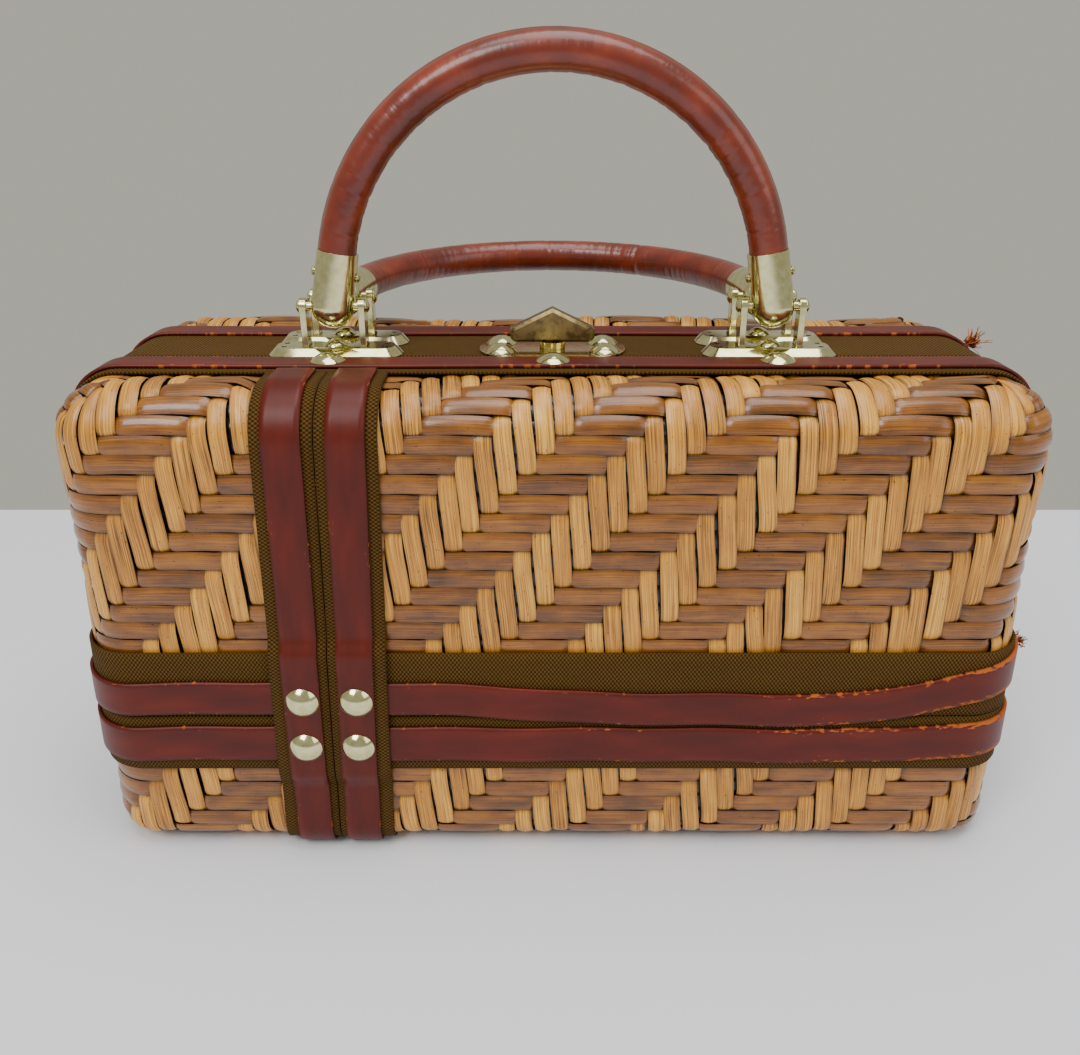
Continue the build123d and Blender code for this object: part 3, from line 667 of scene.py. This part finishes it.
def strapTape(side, which, width, grow, baseOffset):
    bm = startMesh()
    low = box["foot"] - (box["depthHalf"] - rimEdges[side])
    high = topStart + box["depthHalf"] - rimEdges[side] - box["shoulder"]
    zoneLow, zoneHigh = (heightToRun(z) for z in straps["zone"])
    ramp = straps["ramp"]

    def place(x, y):
        v = low + (high - low) * y
        across = 2 * x - 1
        onBelts = smoothStep(zoneLow - ramp, zoneLow, v) * (1 - smoothStep(zoneHigh, zoneHigh + ramp, v))
        z = section(v, grow)[1]
        centre = strapCentre(z, which, baseOffset)
        point = facePoint(side, centre + across * width / 2, v, grow + straps["step"] * onBelts)
        wear = abs(across) ** 4 * (0.25 + 0.15 * math.sin(v / 9))
        return point, (across * width / 2, v), (0.5, 1.0, wear)

    addGrid(bm, 6, 170, place, side > 0)
    return bm, high - low


for half, (side, body) in halves.items():
    for name, settings in belts.items():
        isLeather = "leather" in name
        bm, total = beltTape(side, settings, isLeather)
        material, slotName = (leather, "oxblood_leather") if isLeather else (webbing, "olive_webbing")
        node = half + "_" + name
        piece = finishPiece(bm, node + "_tape", material, body, [node], settings["thick"])
for which, sideName in ((-1, "left"), (1, "right")):
    bm, total = strapTape(-1, which, straps["webbingWidth"], 1.1, straps["topOffset"])
    node = "front_strap_webbing_" + sideName
    piece = finishPiece(bm, node + "_tape", webbing, "front_half", [node], 1.0)
    bm, total = strapTape(-1, which, straps["leatherWidth"], 2.4, straps["leatherBaseOffset"])
    node = "front_strap_leather_" + sideName
    finishPiece(bm, node + "_tape", leather, "front_half", [node], 1.2)
print("stage: belts and straps laid")

# torn fibres where the leather has frayed: middle, spread, number and length
frays = {
    "rimFray": {
        "at": (153.4, 19.0, 166.6),
        "spread": (1.1, 2.6, 1.1),
        "count": 70,
        "length": 4.6,
        "body": "back_half",
    },
    "beltFray": {
        "at": (160.8, -43.5, 78.6),
        "spread": (0.4, 3.4, 1.3),
        "count": 45,
        "length": 1.5,
        "body": "front_half",
    },
}


def frayedFibres(settings):
    bm = startMesh()
    for _ in range(settings["count"]):
        start = Vector([a + dice.uniform(-b, b) for a, b in zip(settings["at"], settings["spread"])])
        heading = Vector((dice.uniform(0.2, 1), dice.uniform(-0.9, 0.9), dice.uniform(-0.2, 1))).normalized()
        curl = Vector([dice.uniform(-1, 1) for _ in range(3)])
        length = settings["length"] * dice.uniform(0.5, 1.2)
        wide = dice.uniform(0.5, 1.3)
        mark = dice.uniform(0.3, 1.7)
        sideways = heading.cross(Vector((0.3, 0.2, 1))).normalized()

        def place(x, y):
            point = start + heading * length * y + curl * length * 0.6 * y * y
            point += sideways * wide * (x - 0.5) * (1 - 0.8 * y)
            return point, (x * wide, length * y), (0.5, 1.0, mark)

        addGrid(bm, 2, 7, place)
    return bm


for name, settings in frays.items():
    finishPiece(frayedFibres(settings), name, leather, settings["body"], (), 0.12)
print("stage: frays added")

handle = {
    "radius": 6.1,
    "pinX": 73.0,
    "pinZ": 186.0,
    "lean": 10.0,
    "mouth": 18.0,
    "tucked": 9.0,
    "frontY": -9.5,
    "backY": 7.5,
    "backFall": -88.0,
    "weltHeight": 0.45,
    "weltAngle": 7.0,
    "creases": 110,
}


def handleTube(y, tilt):
    lean = math.radians(handle["lean"])
    footX = handle["pinX"] - handle["mouth"] * math.sin(lean)
    archRadius = footX / math.cos(lean)
    archZ = handle["mouth"] * math.cos(lean) - archRadius * math.sin(lean)
    arc = archRadius * (math.pi - 2 * lean)
    total = arc + 2 * handle["tucked"]
    seat = Matrix.Translation((0, y, handle["pinZ"])) @ Matrix.Rotation(math.radians(tilt), 4, "X")
    spots = range(handle["creases"])
    creases = [(dice.uniform(0, total), dice.uniform(0.04, 0.13), dice.uniform(0.5, 1)) for _ in spots]
    bm = startMesh()

    def place(x, y):
        along = total * x
        around = 2 * math.pi * y
        run = min(max(along - handle["tucked"], 0.0), arc)
        extra = along - handle["tucked"] - run
        turn = math.pi - lean - run / archRadius
        outward = Vector((math.cos(turn), 0, math.sin(turn)))
        forward = Vector((math.sin(turn), 0, -math.cos(turn)))
        centre = outward * archRadius + Vector((0, 0, archZ)) + forward * extra
        fromTop = math.degrees(math.acos(max(-1.0, min(1.0, math.cos(around)))))
        radius = handle["radius"] - 0.05
        radius += handle["weltHeight"] * math.exp(-((fromTop / handle["weltAngle"]) ** 2))
        underside = 0.5 - 0.5 * math.cos(around)
        free = smoothStep(0, 8, run) * smoothStep(0, 8, arc - run)
        for spot, deep, wide in creases:
            if abs(spot - along) < 3 * wide:
                radius -= free * (0.25 + 0.75 * underside) * deep * math.exp(-(((spot - along) / wide) ** 2))
        radial = outward * math.cos(around) + Vector((0, 1, 0)) * math.sin(around)
        point = seat @ (centre + radial * radius)
        return point, (2 * math.pi * y * handle["radius"], along), (0.5, 1.0, 0.0)

    addGrid(bm, 380, 36, place)
    bmesh.ops.remove_doubles(bm, verts=bm.verts, dist=0.005 * mm)
    bmesh.ops.recalc_face_normals(bm, faces=bm.faces)
    return bm


handleSpots = (("front", handle["frontY"], 0.0), ("back", handle["backY"], handle["backFall"]))
for half, y, tilt in handleSpots:
    nodes = [half + "_handle_cover", half + "_handle_core"]
    name, body = half + "RolledHandle", half + "_handle"
    finishPiece(handleTube(y, tilt), name, rolledLeather, body, nodes)
print("stage: handles rolled")


def finishedCopy(node, material, edge, sharpAngle=38.0):  # a CAD piece merged, smoothed and eased
    source = frame["nodes"][node]
    bm = bmesh.new()
    bm.from_mesh(source.data)
    bmesh.ops.remove_doubles(bm, verts=bm.verts, dist=0.002 * mm)
    bmesh.ops.dissolve_degenerate(bm, edges=bm.edges, dist=0.001 * mm)
    for e in bm.edges:
        e.smooth = len(e.link_faces) == 2 and e.calc_face_angle(0.0) < math.radians(sharpAngle)
    return finishPiece(bm, node + "_finished", material, source["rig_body"], [node], 0.0, edge)


hardware = {
    "pale_gilt_brass": (giltBrass, 0.18),
    "yellow_brass": (yellowBrass, 0.12),
    "antique_brass": (antiqueBrass, 0.35),
    "plain_steel": (plainSteel, 0.1),
    "bent_wood": (bentWood, 0.0),
    "lining_cloth": (liningCloth, 0.0),
}
for part in frame["record"]["subparts"]:
    if part["material_slot"] in hardware:
        material, edge = hardware[part["material_slot"]]
        piece = finishedCopy(part["node"], material, edge)
print("stage: fittings finished")

table = {"wide": 4.0, "front": -2.4, "back": 0.256, "colour": "#e4e5ec"}
lamps = (
    ("keyLamp", (-0.7, -1.1, 1.5), 0.8, 21.0),
    ("fillLamp", (1.2, -0.8, 0.9), 1.0, 6.0),
    ("topLamp", (0.1, -0.1, 1.5), 1.0, 15.0),
)


def studio():
    bm = bmesh.new()
    bmesh.ops.create_grid(bm, x_segments=1, y_segments=1, size=0.5)
    for vert in bm.verts:
        vert.co = Vector((vert.co.x * table["wide"], table["back"] if vert.co.y > 0 else table["front"], 0))
    mesh = bpy.data.meshes.new("studioTable")
    bm.to_mesh(mesh)
    bm.free()
    ground = bpy.data.objects.new("studioTable", mesh)
    bpy.context.scene.collection.objects.link(ground)
    mesh.materials.append(newMaterial("studio paper", Base_Color=srgb(table["colour"]), Roughness=0.85)[0])
    world = bpy.data.worlds.new("studioAir")
    world.use_nodes = True
    world.node_tree.nodes["Background"].inputs["Color"].default_value = srgb("#e3e1d2")
    world.node_tree.nodes["Background"].inputs["Strength"].default_value = 0.6
    bpy.context.scene.world = world
    for name, place, size, power in lamps:
        data = bpy.data.lights.new(name, "AREA")
        data.size = size
        data.energy = power
        lamp = bpy.data.objects.new(name, data)
        lamp.location = place
        lamp.rotation_euler = (Vector((0, 0, 0.1)) - Vector(place)).to_track_quat("-Z", "Y").to_euler()
        bpy.context.scene.collection.objects.link(lamp)


studio()
print("stage: scene done")
